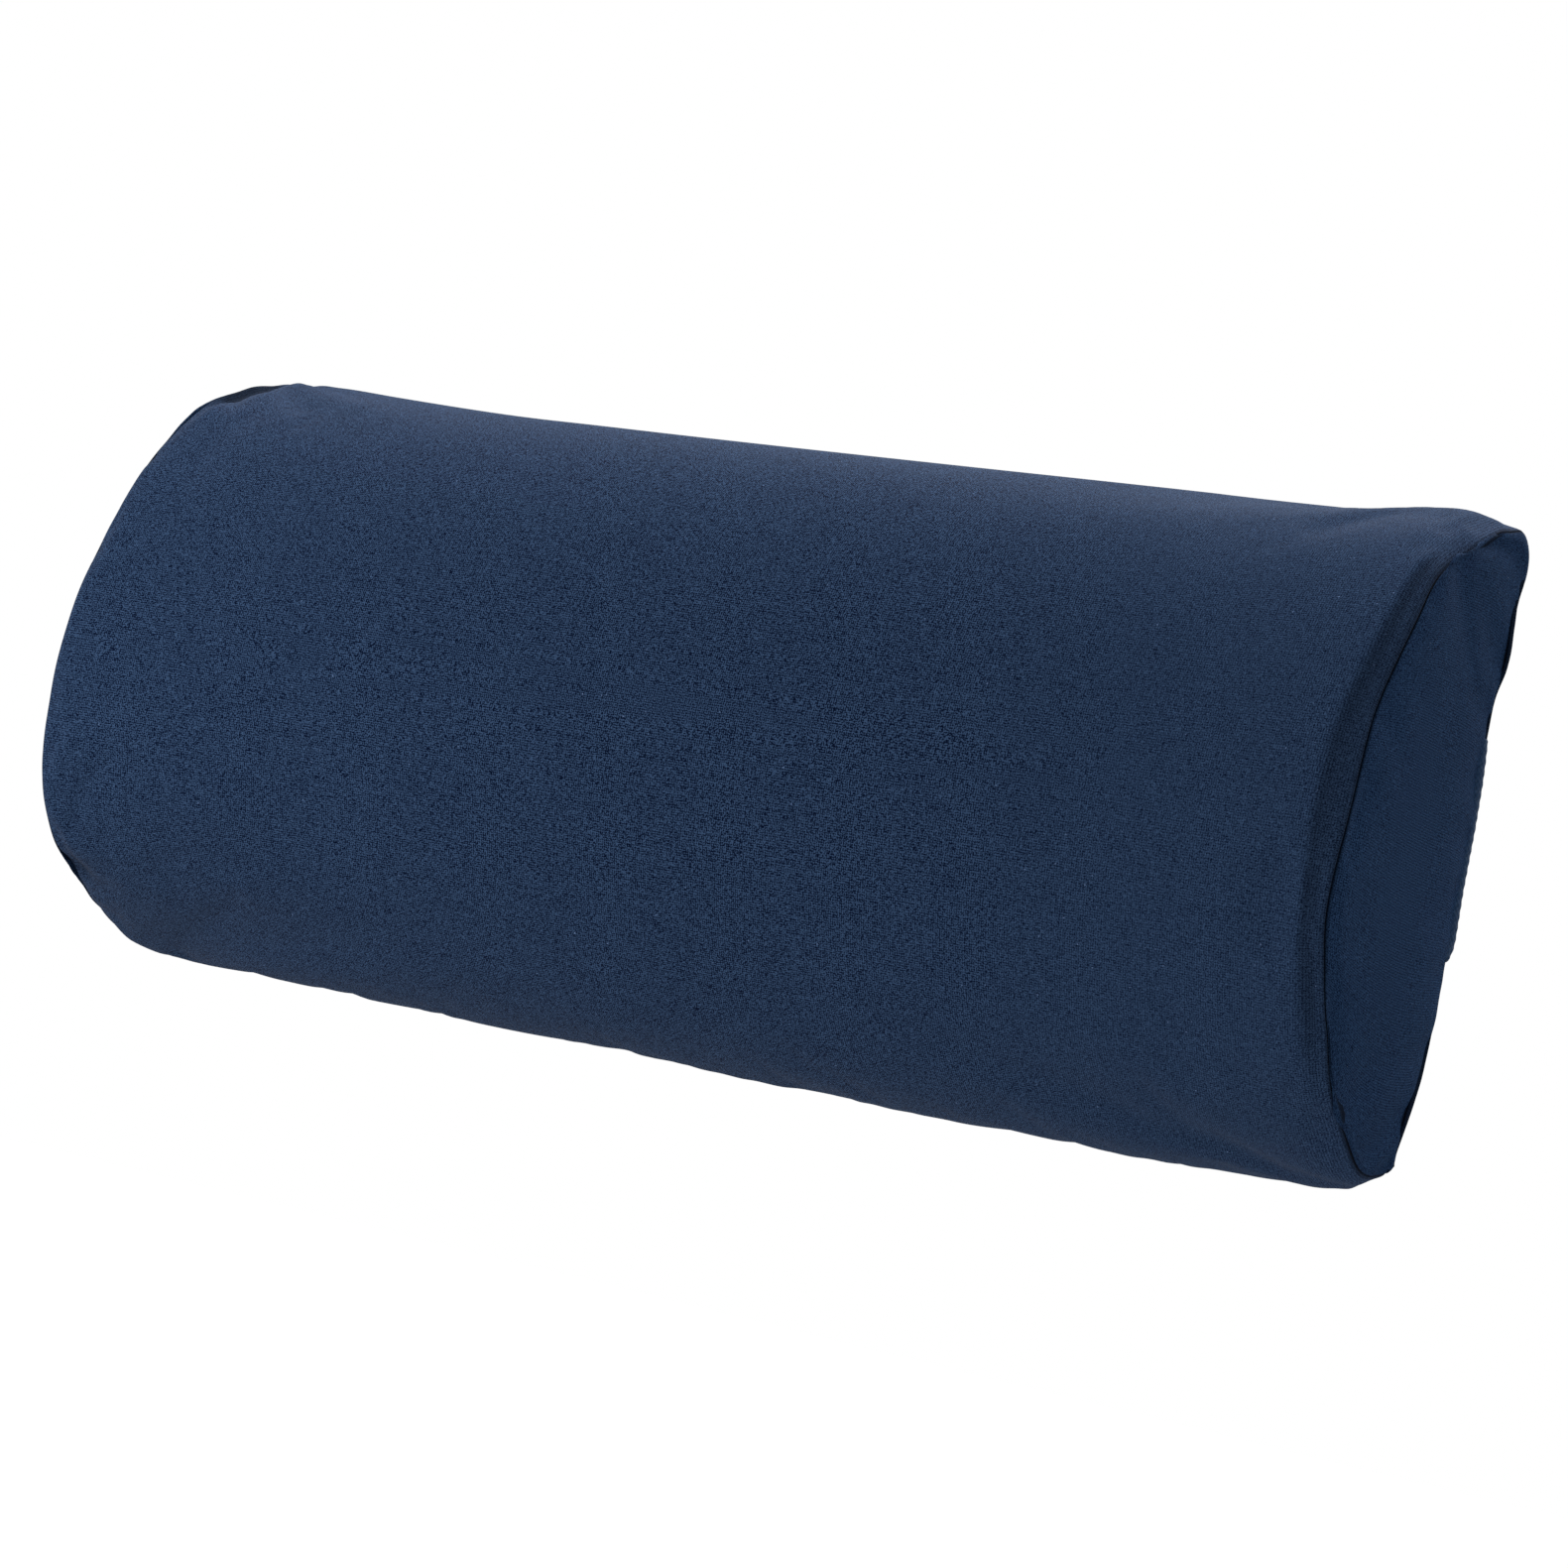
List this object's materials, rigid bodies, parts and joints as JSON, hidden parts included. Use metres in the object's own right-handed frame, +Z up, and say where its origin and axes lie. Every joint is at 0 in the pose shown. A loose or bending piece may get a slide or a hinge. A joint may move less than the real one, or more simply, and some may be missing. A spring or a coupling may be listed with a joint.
{
  "type": "lumbar support cushion",
  "caption": "Half-moon foam cushion in a sewn navy fabric cover, with a zip along its flat back and an elastic strap that holds it to a chair's backrest.",
  "frame": {"origin": "centre of the flat back face, where the cushion meets the backrest", "axes": "+X along the cushion, +Y out of the flat back towards the backrest, +Z up; the crown faces -Y"},
  "size_m": [0.356, 0.0753, 0.155],
  "materials": {
    "cover_fabric": "matte woven polyester, navy with small lighter flecks",
    "end_fabric": "matte woven polyester, navy",
    "foam": "open-cell polyurethane foam",
    "zip_tape": "woven zip tape, dark navy",
    "zip_coil": "nylon coil, dark navy",
    "zip_metal": "die-cast zinc, dark nickel",
    "strap_elastic": "ribbed woven elastic, navy"
  },
  "bodies": {
    "root": {"foam_core": "foam", "crown_panel": "cover_fabric", "left_end_panel": "end_fabric", "right_end_panel": "end_fabric", "upper_back_panel": "cover_fabric", "lower_back_panel": "cover_fabric", "upper_zipper_tape": "zip_tape", "lower_zipper_tape": "zip_tape", "upper_zipper_coil": "zip_coil", "lower_zipper_coil": "zip_coil", "left_zipper_stop": "zip_metal", "right_zipper_stop": "zip_metal", "strap_left_end": "strap_elastic", "strap_right_end": "strap_elastic"},
    "zip_slider": {"zipper_slider": "zip_metal"},
    "zip_pull": {"zipper_pull": "zip_metal"},
    "strap": {"strap_middle": "strap_elastic"}
  },
  "joints": [
    {"name": "zipper_slide", "type": "slide", "parent": "root", "child": "zip_slider", "axis": [-1, 0, 0], "range_m": [0, 0.328]},
    {"name": "pull_swing", "type": "hinge", "parent": "zip_slider", "child": "zip_pull", "pos_m": [0.164, 0.0035, -0.048], "axis": [0, 0, -1], "range_deg": [0, 180]},
    {"name": "strap_stretch", "type": "slide", "parent": "root", "child": "strap", "axis": [0, 1, 0], "range_m": [0, 0.07], "stiffness_N_per_m": 150}
  ]
}
